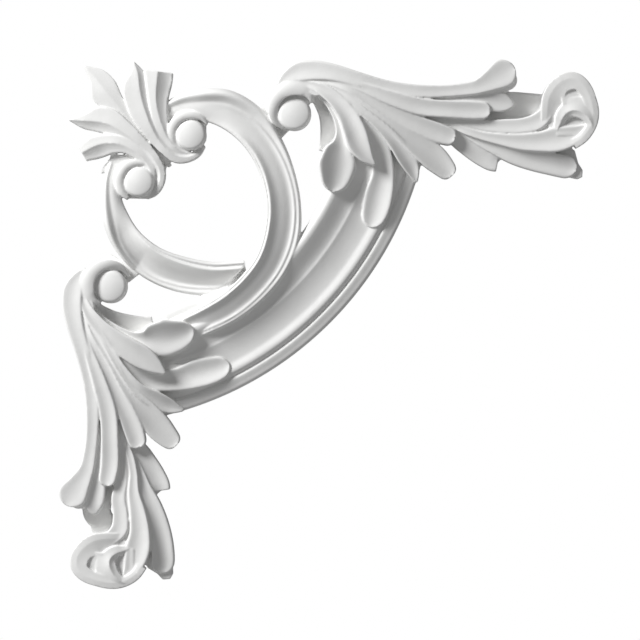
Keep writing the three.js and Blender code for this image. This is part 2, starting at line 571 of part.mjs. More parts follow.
function meshOf(name, solid, material) {
  const { vertProperties, triVerts } = solid.getMesh();
  const geometry = new THREE.BufferGeometry();
  geometry.setAttribute("position", new THREE.BufferAttribute(vertProperties, 3));
  geometry.setIndex(new THREE.BufferAttribute(triVerts, 1));
  geometry.computeVertexNormals();
  const mesh = new THREE.Mesh(geometry, material);
  mesh.name = name;
  return mesh;
}

const onlay = new THREE.Group();
onlay.name = "corner_onlay_group";
onlay.add(meshOf("corner_onlay", onlaySolid(), matt("primed white polyurethane", 0xf1f1ef)));

export default onlay;
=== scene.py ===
# Corner appliqué of primed polyurethane: two acanthus arms, a rail between them, a heart of two
# crossing stems and a palmette at the corner. It is one casting with a flat back at Y = 0, and the
# carving rises towards -Y. Blender works in metres.
import math
from collections import namedtuple

import bmesh
import bpy
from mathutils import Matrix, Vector


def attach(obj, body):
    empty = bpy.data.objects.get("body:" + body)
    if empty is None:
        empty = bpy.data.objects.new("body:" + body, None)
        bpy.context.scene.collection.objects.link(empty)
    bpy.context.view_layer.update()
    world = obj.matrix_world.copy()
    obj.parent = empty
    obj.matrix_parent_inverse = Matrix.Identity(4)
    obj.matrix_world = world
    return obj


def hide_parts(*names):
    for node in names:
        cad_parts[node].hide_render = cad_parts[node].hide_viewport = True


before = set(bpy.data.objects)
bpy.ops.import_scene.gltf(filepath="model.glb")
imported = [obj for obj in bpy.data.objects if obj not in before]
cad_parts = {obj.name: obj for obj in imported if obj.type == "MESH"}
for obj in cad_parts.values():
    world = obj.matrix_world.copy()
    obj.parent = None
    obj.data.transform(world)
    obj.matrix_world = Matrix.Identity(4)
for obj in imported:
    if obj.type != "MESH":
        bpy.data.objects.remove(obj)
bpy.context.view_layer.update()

# Driving dimensions, in metres.
WIDTH = 0.272  # of the drawing, which the arms all but fill
RELIEF = 0.024  # a height of 1 in the rows below; the highest ribs come to 0.95 of it
STOCK = 0.002  # left behind the back face and cut off flat at the end

# The ornament is drawn on squares, x to the right and y down. The object's origin is
# behind this place on the drawing.
DRAWN_WIDTH = 544
SQUARE = WIDTH / DRAWN_WIDTH
ORIGIN_X = 304
ORIGIN_Y = 296

# The second arm is the first one turned over about a line near the corner's diagonal, through this
# point, and then moved by so many squares.
FOLD_ANGLE = math.radians(45.65)
FOLD_X = 320
FOLD_Y = 320
FOLD_RIGHT = 3.6
FOLD_DOWN = -3.44

# The cross forms of the strokes and petals.
RIM = 0.85  # where a lobe's raised rim runs, between its middle at 0 and its edge at 1
EDGE_FALL = 0.7  # squares that a lobe falls outside its rim
HOLLOW_POWER = 1.35  # above 1 the rim is rounded
ROUND_FALL = 2.0  # how many times its depth a round stroke falls at its edges
KEEL_POWER = 0.8  # below 1 the two slopes of a petal are hollow towards its crest
PETAL_EDGE = 0.5  # squares that each slope falls besides its steepness
PETAL_TURN_UP = 0.3  # how far the slopes flatten out at their edges
PETAL_TURN_POWER = 4  # how near the edge they do

# How finely the forms are made: faces across them, and stations along them.
STROKE_ACROSS = 20
PETAL_ACROSS = 24
STEM_ACROSS = 60
RAIL_ACROSS = 110
RAIL_STATIONS = 170
BALL_SIDES = 72
BALL_STEPS = 14
STATION_GAP = 2.0  # squares from one station along a stroke to the next
TIP_STATIONS = 9  # stations round the end of a round tip
TIP_END = 0.995  # where a round tip's last station lies, as a share of its length
SLOPE_STEP = 0.5  # squares either side of a station, for its direction

# The casting's skin.
VOXEL = 0.0004  # metres
SOFTENING = 3  # smoothing passes over the whole skin
MOST_TRIANGLES = 190000  # before the stock is cut off
SMOOTH_EDGE = math.radians(50)  # edges that turn more than this are drawn sharp

# A stroke is one swept form. Its rows are [x, y, half width, height], the first three in squares
# and the height as a share of the relief, from its root to its tip.
# `section` names its cross form, and `depth` is how deep that is, as a share of the half width.
# `tip` is 0 for an end that its own widths close, or the power of the curve that rounds the tip.
# `lean` is how far it rises towards the left of its run, as a slope.
Stroke = namedtuple("Stroke", "section depth tip path lean", defaults=[0])

LEAF = {
    "rib_top": Stroke("flute", 0.08, 2, [
        [278, 86, 2, 0.84], [287, 77.5, 6, 0.89], [298, 72.5, 9.5, 0.92], [312, 70.8, 9.8, 0.94],
        [332, 72.8, 8.5, 0.95], [355, 78.8, 7.3, 0.94], [390, 87.8, 6.3, 0.88], [420, 91.5, 6.3, 0.84],
        [460, 90, 6.3, 0.78],
        [478, 86.8, 7.5, 0.77], [491, 80.5, 11, 0.75], [502, 74, 14.2, 0.73], [514, 66.5, 12.5, 0.7],
    ]),
    "rib_top_side": Stroke("round", 0.12, 2, [
        [470, 90, 3, 0.74], [486, 88, 5.5, 0.74], [499, 84, 8, 0.72], [509, 80, 9, 0.7],
        [516, 76, 7.5, 0.68],
    ]),
    "rib_middle": Stroke("flute", 0.12, 0, [
        [425, 97, 3, 0.68], [450, 95.5, 5.5, 0.71], [480, 98, 8, 0.69], [496, 101.5, 10.5, 0.66],
        [506, 103.5, 8, 0.63], [511, 104.3, 4.5, 0.61], [514.5, 105, 0.8, 0.59],
    ]),
    "rib_lower": Stroke("flute", 0.14, 2.5, [
        [330, 79, 2, 0.9], [360, 87, 4.5, 0.93], [390, 98.2, 7, 0.9], [420, 107, 8.5, 0.84],
        [450, 109.5, 8.7, 0.79], [475, 110.5, 9, 0.74], [490, 111, 8, 0.72],
    ]),
    "lobe_1": Stroke("flute", 0.2, 3, [
        [318, 80, 2, 0.9], [350, 88.5, 5.3, 0.94], [370, 101.5, 6, 0.9], [390, 112.5, 6.8, 0.85],
        [420, 126, 9, 0.78], [438, 133, 9.8, 0.73], [455, 138.5, 8.5, 0.68],
    ]),
    "lobe_2": Stroke("flute", 0.2, 3, [
        [325, 86, 2, 0.9], [350, 98, 4, 0.93], [370, 112, 5, 0.9], [388, 123.5, 5.4, 0.85],
        [405, 136, 8.7, 0.79], [420, 147, 11.5, 0.73], [434, 157.5, 13, 0.67], [444, 167, 11, 0.62],
        [452, 176, 8, 0.58],
    ]),
    "lobe_3": Stroke("flute", 0.2, 0, [
        [330, 92, 2, 0.9], [355, 107, 4, 0.93], [375, 122, 5, 0.89], [392, 138.5, 6.8, 0.82],
        [406, 157.5, 8.8, 0.7], [413, 170.5, 6.8, 0.6], [416.5, 182, 1.5, 0.52],
    ]),
    "lobe_4": Stroke("flute", 0.17, 2, [
        [330, 92, 2, 0.9], [350, 104, 4, 0.92], [365, 120, 6, 0.86], [375, 137, 7.8, 0.76],
        [381.5, 155, 9.6, 0.64], [383, 175, 11.3, 0.55], [379, 195, 14, 0.49], [375, 212, 13, 0.46],
        [370, 227, 9, 0.43],
    ]),
    "lobe_5": Stroke("flute", 0.22, 0, [
        [303, 83, 2, 0.9], [320, 89, 5.5, 0.94], [336, 101, 7.5, 0.94], [347, 115, 9.5, 0.93],
        [354, 130, 11.2, 0.91], [359, 144, 11.2, 0.87], [366, 156, 7.5, 0.81], [374.5, 165, 1.5, 0.74],
    ]),
    "cup_back": Stroke("flute", 0.06, 0, [
        [311, 95, 2, 0.7], [319, 103, 5, 0.52], [325, 112, 7, 0.47], [328.5, 122, 8.5, 0.44],
        [329.5, 132, 9, 0.42], [329, 142, 9, 0.42], [326, 152, 7.5, 0.42],
    ], -0.5),
    "cup": Stroke("flute", 0.2, 2, [
        [318, 92, 2, 0.76], [331, 106, 4.2, 0.72], [339, 120, 5.2, 0.71], [341.5, 134, 6, 0.72],
        [341, 144, 9.5, 0.74], [338.5, 153, 15, 0.76], [337.5, 163, 18.5, 0.77], [336, 175, 16.5, 0.76],
        [332, 192, 9, 0.74],
    ], -0.3),
    "collar": Stroke("round", 0.06, 0, [
        [284, 129, 1.5, 0.58], [276.8, 122.8, 3, 0.68], [272.8, 113, 4.4, 0.78], [274.3, 103, 5.4, 0.84],
        [280.2, 94.3, 6.4, 0.88], [288.5, 89, 7.6, 0.91], [298, 87.4, 8.2, 0.92], [306.5, 90.8, 6.8, 0.91],
        [310.5, 97.5, 3.4, 0.87], [311.5, 102, 1.5, 0.82],
    ]),
    "ball_seat": Stroke("round", 0.1, 0, [
        [281, 126, 2.5, 0.56], [277, 117, 2.5, 0.62], [277, 108, 2.5, 0.66], [281, 101, 2.5, 0.7],
        [288, 96.5, 2.5, 0.72], [296, 95.5, 2.5, 0.72], [304, 98.5, 2.5, 0.72], [309, 104, 2.5, 0.7],
    ]),
}
SECOND_LEAF = {
    "lobe_6": Stroke("flute", 0.16, 0, [
        [445, 126, 4, 0.52], [456, 138, 7.5, 0.52], [470, 148, 9, 0.5], [484, 157, 9.5, 0.47],
        [493, 161, 9.8, 0.46], [498, 162, 9.5, 0.45],
    ], 0.1),
    "lobe_7": Stroke("flute", 0.16, 2, [
        [452, 125, 2.5, 0.56], [475, 139, 4, 0.56], [495, 148.5, 6, 0.55], [515, 156, 8.5, 0.54],
        [535, 161, 10, 0.52], [552, 164, 11, 0.5], [566, 166.5, 11.5, 0.48], [577, 168.5, 11, 0.46],
    ], 0.14),
    "recess": Stroke("flute", 0.1, 0, [
        [482, 110, 10, 0.36], [496, 106.5, 13, 0.345], [512, 105.5, 14, 0.33], [528, 104.5, 12, 0.315],
        [543, 104, 10, 0.3],
    ]),
    "curl_band": Stroke("flute", 0.1, 0, [
        [430, 110, 3, 0.6], [462, 121, 4.2, 0.62], [485, 125.5, 5.5, 0.62], [505, 126.3, 7, 0.63],
        [523, 125.5, 7.5, 0.64], [538, 121, 8.4, 0.66], [546, 112, 7, 0.7], [547.5, 103, 6, 0.74],
        [549, 96, 4, 0.77],
    ]),
    "curl_bowl": Stroke("round", 0, 0, [
        [556, 132, 4, 0.67], [565, 129, 7, 0.67], [575, 126, 9, 0.67], [583, 125, 8, 0.67],
        [590, 126, 4, 0.67],
    ], -0.1),
    "curl_cup": Stroke("flute", 0.14, 0, [
        [448, 123, 2, 0.6], [462, 129.5, 3.5, 0.64], [480, 135.5, 4, 0.64], [500, 139.5, 5.6, 0.64],
        [520, 142, 8, 0.65], [540, 141.8, 10, 0.66], [557, 139.5, 12.2, 0.68], [568, 137, 11, 0.69],
        [578, 133, 8, 0.7], [586, 128, 4, 0.71],
    ]),
}

# A petal is two slopes that meet in a sharp crest, each with its own steepness.
# Its rows are [x, y, width on the left of its run, width on the right, height], along the crest.
Petal = namedtuple("Petal", "left_slope right_slope path")
CURL = {
    "curl_ring": Petal(0, 0.05, [
        [546.5, 121, 5, 11, 0.67], [546.8, 109, 5.5, 13, 0.74], [548.5, 98, 6.5, 14, 0.79],
        [553.5, 89, 7, 13, 0.83], [560.5, 82.2, 6.5, 12, 0.86], [568, 79, 6.5, 12, 0.87],
        [575.5, 79.7, 6.3, 11, 0.875], [581.8, 84, 6, 9, 0.875], [586, 90, 6, 8, 0.87],
        [590, 99.5, 5.8, 7, 0.86], [592.5, 110.5, 6, 6, 0.84], [591.8, 121, 6, 4, 0.81],
        [588, 130, 6, 4, 0.77], [581.5, 138, 6, 4, 0.73], [573, 143.5, 6, 4, 0.69],
    ]),
    "curl_crest": Petal(0.1, 0.5, [
        [556.5, 131, 3, 2, 0.68], [560, 124, 6, 3, 0.72], [562.7, 118, 8, 4, 0.77],
        [566.5, 113.3, 9, 5, 0.81], [572, 110.8, 12, 6, 0.845], [578, 111.3, 14, 6.5, 0.86],
        [584, 114.5, 13, 6, 0.855], [588.5, 119.5, 8, 5, 0.84], [591.5, 126, 4, 4, 0.8],
        [591, 133, 2, 2, 0.75],
    ]),
}
PALMETTE = {
    "centre": Petal(0.08, 0.07, [
        [170, 166, 2, 2, 0.4], [160, 155, 2.5, 3, 0.5], [150, 143, 2.5, 3.5, 0.58],
        [135, 127, 3, 5, 0.64], [124, 113, 6, 7, 0.68], [115, 102, 11, 9, 0.7],
        [105, 91, 15, 14, 0.71], [96, 79, 7, 12, 0.7], [84, 66, 0.5, 0.5, 0.68],
    ]),
    "inner_right": Petal(0.02, 0.4, [
        [204, 145, 2, 2, 0.5], [197, 153, 4, 3, 0.56], [188, 157, 5, 4, 0.6],
        [177, 156, 7, 4.5, 0.64], [167, 149.5, 6.5, 4.5, 0.68], [158, 139, 8, 4, 0.7],
        [151, 126, 11, 6, 0.73], [146, 113, 14.5, 8, 0.74], [142, 100, 16, 9.5, 0.74],
        [139.5, 87, 16, 9.5, 0.74], [138, 74, 9, 6.5, 0.73], [134, 62, 0.5, 0.5, 0.71],
    ]),
    "inner_left": Petal(0.4, 0.02, [
        [146, 197, 2, 2.5, 0.5], [153, 192, 3, 4.5, 0.56], [159, 183, 3.5, 5, 0.6],
        [160, 172, 4, 5.5, 0.64], [155, 161.5, 4.5, 6, 0.68], [146, 150.5, 4.5, 7, 0.7],
        [134, 140, 6, 9, 0.73], [121, 131, 8, 12, 0.74], [110, 125, 9.5, 15, 0.74],
        [98, 122, 9.5, 15, 0.73], [84, 121, 7.5, 6.5, 0.72], [69, 120, 0.5, 0.5, 0.7],
    ]),
    "outer_right": Petal(0, 0.34, [
        [190, 153, 2, 2, 0.56], [182, 151.5, 3, 3.5, 0.6], [175, 147, 4, 4.5, 0.64],
        [168, 138.5, 5, 5, 0.66], [163, 128, 6, 6, 0.69], [159, 116, 6.5, 8.5, 0.71],
        [156.5, 104, 7, 11, 0.72], [156, 92, 8.5, 13.5, 0.72], [157, 81, 11, 15, 0.72],
        [158, 71.5, 13, 15, 0.71],
    ]),
    "outer_left": Petal(0.3, 0.04, [
        [147, 191, 2, 2, 0.56], [151, 183, 3.5, 3, 0.6], [151.5, 173.5, 4, 4, 0.64],
        [147, 164, 4.5, 5, 0.66], [139, 155, 5, 6, 0.69], [128, 147.5, 6.5, 7, 0.71],
        [115, 143.5, 9.5, 8, 0.72], [102, 144, 12.5, 9, 0.71], [91, 148, 12, 9, 0.7],
        [82, 153, 9, 7, 0.68],
    ]),
    "spur": Petal(0.2, 0.2, [
        [124, 159, 3, 3, 0.5], [114, 162.5, 4, 4, 0.52], [106.5, 167.5, 3.5, 3, 0.48],
        [101, 173, 0.5, 0.5, 0.42],
    ]),
}

# The heart's two stems share one moulded section. From the inner edge it has two thin beads, a
# cove that falls away, a low ridge and a flat outer band. Near the balls it is plain and round.
# Rows: [x, y, width inside, width outside, place of the ridge, scale of the beads, height].
STEM_OVER = [
    [164, 113, 8, 9, 0, 0, 0.52], [172, 110.5, 9, 11, 1, 0, 0.56], [184, 107.5, 10, 14, 1.5, 0, 0.6],
    [200, 106.5, 13, 17, 2, 0, 0.66], [222, 110, 16, 21, 5, 0.25, 0.7],
    [246, 122, 18.5, 20, 5.5, 0.7, 0.73], [266, 147, 17.5, 18, 8, 1, 0.75],
    [278, 175, 17, 17, 10, 1, 0.77], [282.5, 205, 16.5, 18.5, 12, 1, 0.78],
    [279, 235, 15.5, 21, 13.5, 1, 0.79], [268, 262, 13.5, 21, 14, 1, 0.79],
    [249, 284, 11, 21.5, 15.5, 1, 0.79], [226, 301, 8.5, 22, 17, 1, 0.78],
    [202, 314, 7.5, 21, 16, 1, 0.74], [184, 323, 8, 19, 14, 1, 0.62], [168, 329, 7, 14, 10, 1, 0.5],
]
STEM_UNDER = [
    [118, 159, 7, 8, 1, 0, 0.48], [115.5, 167, 7.5, 8, 1, 0, 0.52], [112.5, 179, 8, 8.5, 1, 0, 0.58],
    [111.5, 195, 9, 9.5, 0, 0, 0.64], [115, 217, 13, 12.5, 0, 0.05, 0.68],
    [127, 241, 15.5, 15, 6, 0.5, 0.71], [152, 261, 15.5, 18.5, 13, 1.2, 0.72],
    [180, 273, 17, 19, 12.5, 1.7, 0.72], [210, 277.5, 16, 18, 10.5, 1.9, 0.71],
    [246, 273, 13, 17, 10, 1.9, 0.7],
]
# The beads, at scale 1: [squares from the inner edge, squares below the top of the section].
STEM_BEADS = [[0, 3.5], [0.7, 1.5], [1.6, 0.8], [2.7, 1.6], [4.2, 0], [5.6, 0.7], [8.5, 3]]
LEAST_BEAD = 0.3  # the beads get no narrower than at this scale, and fade out instead
COVE_SLOPE_OVER = 0.32  # how steeply the upper stem's cove falls
COVE_SLOPE_UNDER = 0.8  # and the lower stem's
COVE_EASE = 0.25  # how much steeper the cove is near the beads
RIDGE_FOOT = 2.2  # squares from the cove's end to the ridge's crest
RIDGE_BACK = 1.2  # squares from its crest to the band
RIDGE_RISE = 0.8  # squares
BAND_SLOPE = 0.12
STEM_EDGE = 1.0  # squares across the outer edge
STEM_EDGE_FALL = 2.5  # squares that it falls
PLAIN_FALL = 5  # squares that the plain section falls to its inner edge

# A low ledge fills the corner between the upper stem and the gap below the heart, and a thin
# collar runs round the upper side of each of the heart's balls.
HEART_STROKES = {
    "ledge": Stroke("round", 0.1, 0, [
        [229, 287, 1.5, 0.5], [217, 294, 3.5, 0.5], [200, 302.6, 5.5, 0.48], [182, 310, 6, 0.46],
        [163, 317.5, 6.5, 0.44],
    ]),
    "collar_right": Stroke("round", 0.06, 0, [
        [176, 147, 2, 0.6], [172.3, 139, 3.4, 0.65], [171.8, 129.5, 4.2, 0.68], [176, 121, 4.4, 0.7],
        [184, 116, 4.2, 0.7], [193.5, 115.3, 3.6, 0.69], [201.5, 118.2, 2.4, 0.66], [207, 124, 1, 0.62],
    ]),
    "collar_left": Stroke("round", 0.06, 0, [
        [150, 166.5, 1, 0.62], [143, 163.3, 2.4, 0.65], [133.5, 163.3, 3.6, 0.68], [125, 167.3, 4.2, 0.7],
        [120.3, 175, 4.4, 0.7], [119.7, 184.5, 4.2, 0.67], [122.8, 193, 3.4, 0.64], [128, 198.5, 2, 0.6],
    ]),
}
# Where the lower stem passes behind the upper one it drops out of sight: outside this circle,
# which is the upper stem's inner edge, and to the right of this line.
CROSSING_X = 170.7
CROSSING_Y = 206.4
CROSSING_RADIUS = 95
CROSSING_RIGHT_OF = 200
CROSSING_HEIGHT = 0.45  # the most that it rises there

# The rail is an arc between the arms, about this centre, with its angles turning from right to down.
# Its section: [radius in squares, height].
RAIL_X = 82.3
RAIL_Y = 75.1
RAIL_FROM = math.radians(11)
RAIL_TO = math.radians(79)
RAIL_SECTION = [
    [270, 0.46], [273, 0.575], [276, 0.61], [279, 0.605], [283, 0.57], [289, 0.51], [293, 0.475],
    [296, 0.457], [298, 0.45], [301, 0.449], [303, 0.434], [307, 0.41], [313, 0.383], [319, 0.366],
    [323, 0.36], [335, 0.36], [336, 0.34], [337, 0.305], [338.2, 0.33], [339.2, 0.345],
    [341, 0.34], [345, 0.315], [349, 0.29], [350.5, 0.26],
]

# The balls that the scrolls turn round: x, y, radius, height of the crown.
BALLS = [
    [294.5, 113.8, 16.8, 0.82], [110.5, 286.5, 16.8, 0.82], [191, 135, 15.4, 0.72], [139, 182, 15.4, 0.72],
]
BALL_DOME = 2.6  # squares that the dome falls from its crown to the ball's side
BALL_EDGE = 3  # squares that the rounded edge falls there besides
BALL_EDGE_START = 0.8  # where the rounded edge starts, as a share of the ball's radius
BALL_EDGE_POWER = 2.4  # above 1 the edge starts gently

# Flat beds that fill in behind the strokes and petals: height, then the outline in squares.
ARM_BEDS = {
    "leaf": [0.45, [
        [298, 84], [330, 76], [380, 88], [430, 92], [480, 94], [486, 108], [474, 116], [452, 119],
        [450, 134], [436, 142], [440, 152], [418, 158], [410, 168], [398, 156], [386, 141], [384, 160],
        [380, 190], [368, 190], [364, 166], [352, 160], [346, 165], [340, 140], [334, 112], [312, 94],
    ]],
    "ribs": [0.62, [
        [340, 80], [380, 88], [430, 92], [470, 92], [480, 100], [470, 116], [456, 122], [446, 126],
        [440, 128], [420, 126], [400, 122], [395, 134], [385, 134], [360, 116], [345, 104],
    ]],
    "root": [0.9, [
        [290, 84], [302, 76], [330, 78], [352, 90], [352, 104], [340, 100], [322, 96], [314, 96], [306, 91],
    ]],
    "second_leaf": [0.38, [
        [436, 112], [446, 116], [480, 120], [540, 116], [552, 128], [565, 140], [574, 150], [574, 170],
        [540, 166], [505, 156], [496, 164], [470, 152], [450, 142], [436, 130],
    ]],
    "curl": [0.6, [
        [452, 119], [480, 123], [505, 124], [540, 118], [556, 124], [568, 134], [560, 146], [530, 146],
        [500, 141], [470, 132], [450, 124],
    ]],
    "tip": [0.38, [[558, 148], [575, 150], [578.5, 163], [583, 170], [582.5, 177], [578, 179], [556, 174]]],
    "curl_floor": [0.64, [
        [548, 118], [552, 106], [560, 98], [580, 98], [592, 112], [592, 124], [585, 136],
        [570, 142], [556, 138], [548, 126],
    ]],
    "curl_crease": [0.8, [
        [562, 104], [561, 96], [565, 89], [571, 86], [579, 87], [586, 93], [590, 104], [589, 111],
        [583, 107], [577, 103.5], [569, 104],
    ]],
    "stem_root": [0.52, [
        [162, 104], [172, 101], [182, 98], [198, 108], [206, 122], [206, 140], [196, 150], [178, 150],
        [172, 145], [164, 130],
    ]],
    "socket": [0.3, [[262, 108], [268, 100], [276, 108], [284, 122], [290, 129], [282, 137], [272, 127]]],
}
HEART_BEDS = {
    "palmette": [0.36, [
        [135, 122], [150, 138], [162, 150], [170, 158], [170, 163.5], [166, 165], [164.5, 182], [158, 182],
        [150, 168], [140, 154], [125, 140],
    ]],
    "ball_seat": [0.52, [
        [108, 160], [118, 158], [134, 159], [146, 164], [154, 174], [155, 186], [149, 195], [138, 198.5],
        [127, 195], [118, 188],
    ]],
}

# The second arm is carved a little differently: [x, y, reach, squares to the right, squares down],
# on the first arm's drawing, before it is turned over.
NUDGES = [
    [295, 107, 38, 0, -7], [345, 165, 34, 8, -3], [385, 140, 30, 5, -1], [506, 104, 18, 10, -7],
    [505, 131, 24, 0, -6], [582, 172, 16, 4, -5], [580, 112, 20, -3, 1],
]

# The primer's look: its two close tones, and noises as (scale, detail).
PRIMER = (0.8, 0.8, 0.793, 1)
PRIMER_DULL = (0.765, 0.765, 0.756, 1)
PRIMER_ROUGHNESS = (0.5, 0.66)
NOISE_LOW = 0.3  # what lies below this in a noise counts as its least
NOISE_HIGH = 0.7  # and above this as its most
MOTTLE = (70, 4)
SHEEN = (160, 3)
WAVES = (260, 2)  # the faint unevenness of a sprayed coat
WAVES_STRENGTH = 0.18
WAVES_DEPTH = 0.0003  # metres
GRAIN = (1800, 3)
GRAIN_STRENGTH = 0.3
GRAIN_DEPTH = 0.0001  # metres

# The stage: a floor far below, a round lamp in front on the upper left, and an even light.
FLOOR_SIZE = 1.6  # metres along each side
FLOOR_HEIGHT = -1.2  # metres
FLOOR_COLOUR = (0.9, 0.9, 0.9, 1)
FLOOR_ROUGHNESS = 0.9
LIGHT_FROM = Vector((-0.7, -0.455, 0.55))  # the direction of the lamp from the origin
LIGHT_DISTANCE = 1.5  # metres
LIGHT_SIZE = 0.5  # metres across
LIGHT_POWER = 31  # watts
AMBIENT = 0.24  # strength of the even light all round
WHITE = (1, 1, 1, 1)

# The camera looks along +Y at this place on the drawing, and sees so many squares across.
CAMERA_LENS = 400
CAMERA_SENSOR = 36
FRAME_SQUARES = 640
FRAME_MIDDLE_X = 320
FRAME_MIDDLE_Y = 320
FRAME_DEPTH = 0.012  # how far in front of the back face the drawing's scale holds


def flute(u, half, depth):
    """A raised rim along each edge with a hollow between them."""
    out = abs(u)
    if out <= RIM:
        return -depth * half * (1 - (out / RIM) ** 2) ** HOLLOW_POWER
    return -EDGE_FALL * ((out - RIM) / (1 - RIM)) ** 2


def dome(u, half, depth):
    """Highest along the middle and rounded down to the edges."""
    return -(EDGE_FALL + ROUND_FALL * depth * half) * u * u


SECTIONS = {"flute": flute, "round": dome}


def petal_fall(out, width, slope):
    """The fall of a petal's slope from its crest at 0 to its edge at 1."""
    shape = (1 + PETAL_TURN_UP) * out ** KEEL_POWER - PETAL_TURN_UP * out ** PETAL_TURN_POWER
    return (PETAL_EDGE + slope * width) * shape


class Curve:
    """A smooth curve through rows of numbers, each row at its own place along the curve."""

    def __init__(self, rows, places):
        self.rows = rows
        self.places = places
        self.length = places[-1]
        self.gaps = [b - a for a, b in zip(places, places[1:])]
        steps = [
            [(b - a) / gap for a, b in zip(row, following)]
            for row, following, gap in zip(rows, rows[1:], self.gaps)
        ]
        self.slopes = [steps[0]]
        for before, after, gap, next_gap in zip(steps, steps[1:], self.gaps, self.gaps[1:]):
            share = next_gap / (gap + next_gap)
            self.slopes.append([a * share + b * (1 - share) for a, b in zip(before, after)])
        self.slopes.append(steps[-1])

    def at(self, place):
        """The row at a place along the curve."""
        i = 0
        while i < len(self.gaps) - 1 and self.places[i + 1] <= place:
            i += 1
        gap = self.gaps[i]
        t = (place - self.places[i]) / gap
        row = []
        for a, b, start, end in zip(self.rows[i], self.rows[i + 1], self.slopes[i], self.slopes[i + 1]):
            bend = (1 - t) * start - t * end + (2 * t - 1) * (b - a) / gap
            row.append(a + (b - a) * t + t * (1 - t) * gap * bend)
        return row


def curve_along(path):
    """The curve through a path's rows, placed by their distances apart on the drawing."""
    places = [0]
    for row, following in zip(path, path[1:]):
        places.append(places[-1] + math.dist(row[:2], following[:2]))
    return Curve(path, places)


def curve_across(section):
    """The curve through a moulding's section, placed by the first number of each row."""
    return Curve([[height] for place, height in section], [place for place, height in section])


def stem_section(inner, outer, ridge, bead, slope):
    """Squares below the top of a stem's section, from its inner edge to its outer edge."""
    scale = max(bead, LEAST_BEAD)
    moulded = [[scale * place - inner, scale * drop] for place, drop in STEM_BEADS]
    start, drop = moulded[-1]
    half = (ridge - RIDGE_FOOT - start) / 2
    middle = drop + (1 + COVE_EASE) * slope * half
    foot = middle + (1 - COVE_EASE) * slope * half
    edge = foot + BAND_SLOPE * (outer - STEM_EDGE - ridge)
    moulded += [
        [start + half, middle], [ridge - RIDGE_FOOT, foot], [ridge, foot - RIDGE_RISE],
        [ridge + RIDGE_BACK, foot], [outer - STEM_EDGE, edge], [outer, edge + STEM_EDGE_FALL],
    ]
    share = min(bead, 1)
    blended = []
    for place, drop in moulded:
        inwards = max(0, (ridge - place) / (ridge + inner))
        plain = PLAIN_FALL * inwards ** 2 + (STEM_EDGE_FALL if place == outer else 0)
        blended.append([place, share * drop + (1 - share) * plain])
    return curve_across(blended)


def stations_of(path, tip=0):
    """Rows and directions along a path, with the part by which each closes in at a round tip."""
    curve = curve_along(path)
    turn = curve.at(curve.length)[2] if tip else 0
    straight = curve.length - turn
    steps = max(2, round(straight / STATION_GAP))
    spots = [(straight * i / steps, 1) for i in range(steps + 1)]
    if turn:
        angles = [(i + 1) / TIP_STATIONS * math.pi / 2 for i in range(TIP_STATIONS)]
        shares = [TIP_END * math.sin(angle) for angle in angles]
        spots += [(straight + turn * share, (1 - share ** tip) ** (1 / tip)) for share in shares]
    stations = []
    for place, narrowing in spots:
        before = curve.at(max(place - SLOPE_STEP, 0))
        after = curve.at(min(place + SLOPE_STEP, curve.length))
        run = math.dist(before[:2], after[:2])
        along = ((after[0] - before[0]) / run, (after[1] - before[1]) / run)
        stations.append((curve.at(place), along, narrowing))
    return stations


def place_of(x, y, height):
    """A point of the object, from a place on the drawing and a height in metres."""
    return Vector(((x - ORIGIN_X) * SQUARE, -height, (ORIGIN_Y - y) * SQUARE))


def lay(shape, columns, rows, place):
    """A closed block under a sheet; place(column, row) gives x, y and height of the sheet."""
    sheet = bmesh.ops.create_grid(shape, x_segments=columns, y_segments=rows, size=1)
    verts = sheet["verts"]
    faces = list({face for vert in verts for face in vert.link_faces})
    for vert in verts:
        column = round((vert.co.x + 1) / 2 * columns)
        row = round((vert.co.y + 1) / 2 * rows)
        vert.co = place_of(*place(column, row))
    push_back(shape, faces)


def push_back(shape, faces):
    """Extrudes faces to the stock behind the back face."""
    pushed = bmesh.ops.extrude_face_region(shape, geom=faces)
    for item in pushed["geom"]:
        if isinstance(item, bmesh.types.BMVert):
            item.co.y = STOCK


def beside(x, y, along, left):
    """A place so many squares to the left of a stroke's run."""
    return x + along[1] * left, y - along[0] * left


def add_stroke(shape, stroke):
    """A cross form swept along a path, with its widths and heights."""
    stations = stations_of(stroke.path, stroke.tip)
    rise = SECTIONS[stroke.section]

    def place(column, row):
        (x, y, half, height), along, narrowing = stations[row]
        u = 2 * column / STROKE_ACROSS - 1
        half *= narrowing
        depth = height * RELIEF + (rise(u, half, stroke.depth) + stroke.lean * u * half) * SQUARE
        return *beside(x, y, along, u * half), depth

    lay(shape, STROKE_ACROSS, len(stations) - 1, place)


def add_petal(shape, petal):
    """Two slopes swept along the crest between them."""
    stations = stations_of(petal.path)

    def place(column, row):
        (x, y, left, right, height), along, _ = stations[row]
        u = 2 * column / PETAL_ACROSS - 1
        width, slope = (left, petal.left_slope) if u > 0 else (right, petal.right_slope)
        depth = height * RELIEF - petal_fall(abs(u), width, slope) * SQUARE
        return *beside(x, y, along, u * width), depth

    lay(shape, PETAL_ACROSS, len(stations) - 1, place)


def add_stem(shape, path, side, slope, limit=None):
    """A heart stem; side is 1 with the outer edge on the left of its run."""
    stations = stations_of(path)
    sections = [stem_section(*row[2:6], slope) for row, _, _ in stations]

    def place(column, row):
        (x, y, inner, outer, _, _, height), along, _ = stations[row]
        across = (inner + outer) * column / STEM_ACROSS - inner
        depth = height * RELIEF - sections[row].at(across)[0] * SQUARE
        x, y = beside(x, y, along, side * across)
        return x, y, min(depth, limit(x, y)) if limit else depth

    lay(shape, STEM_ACROSS, len(stations) - 1, place)


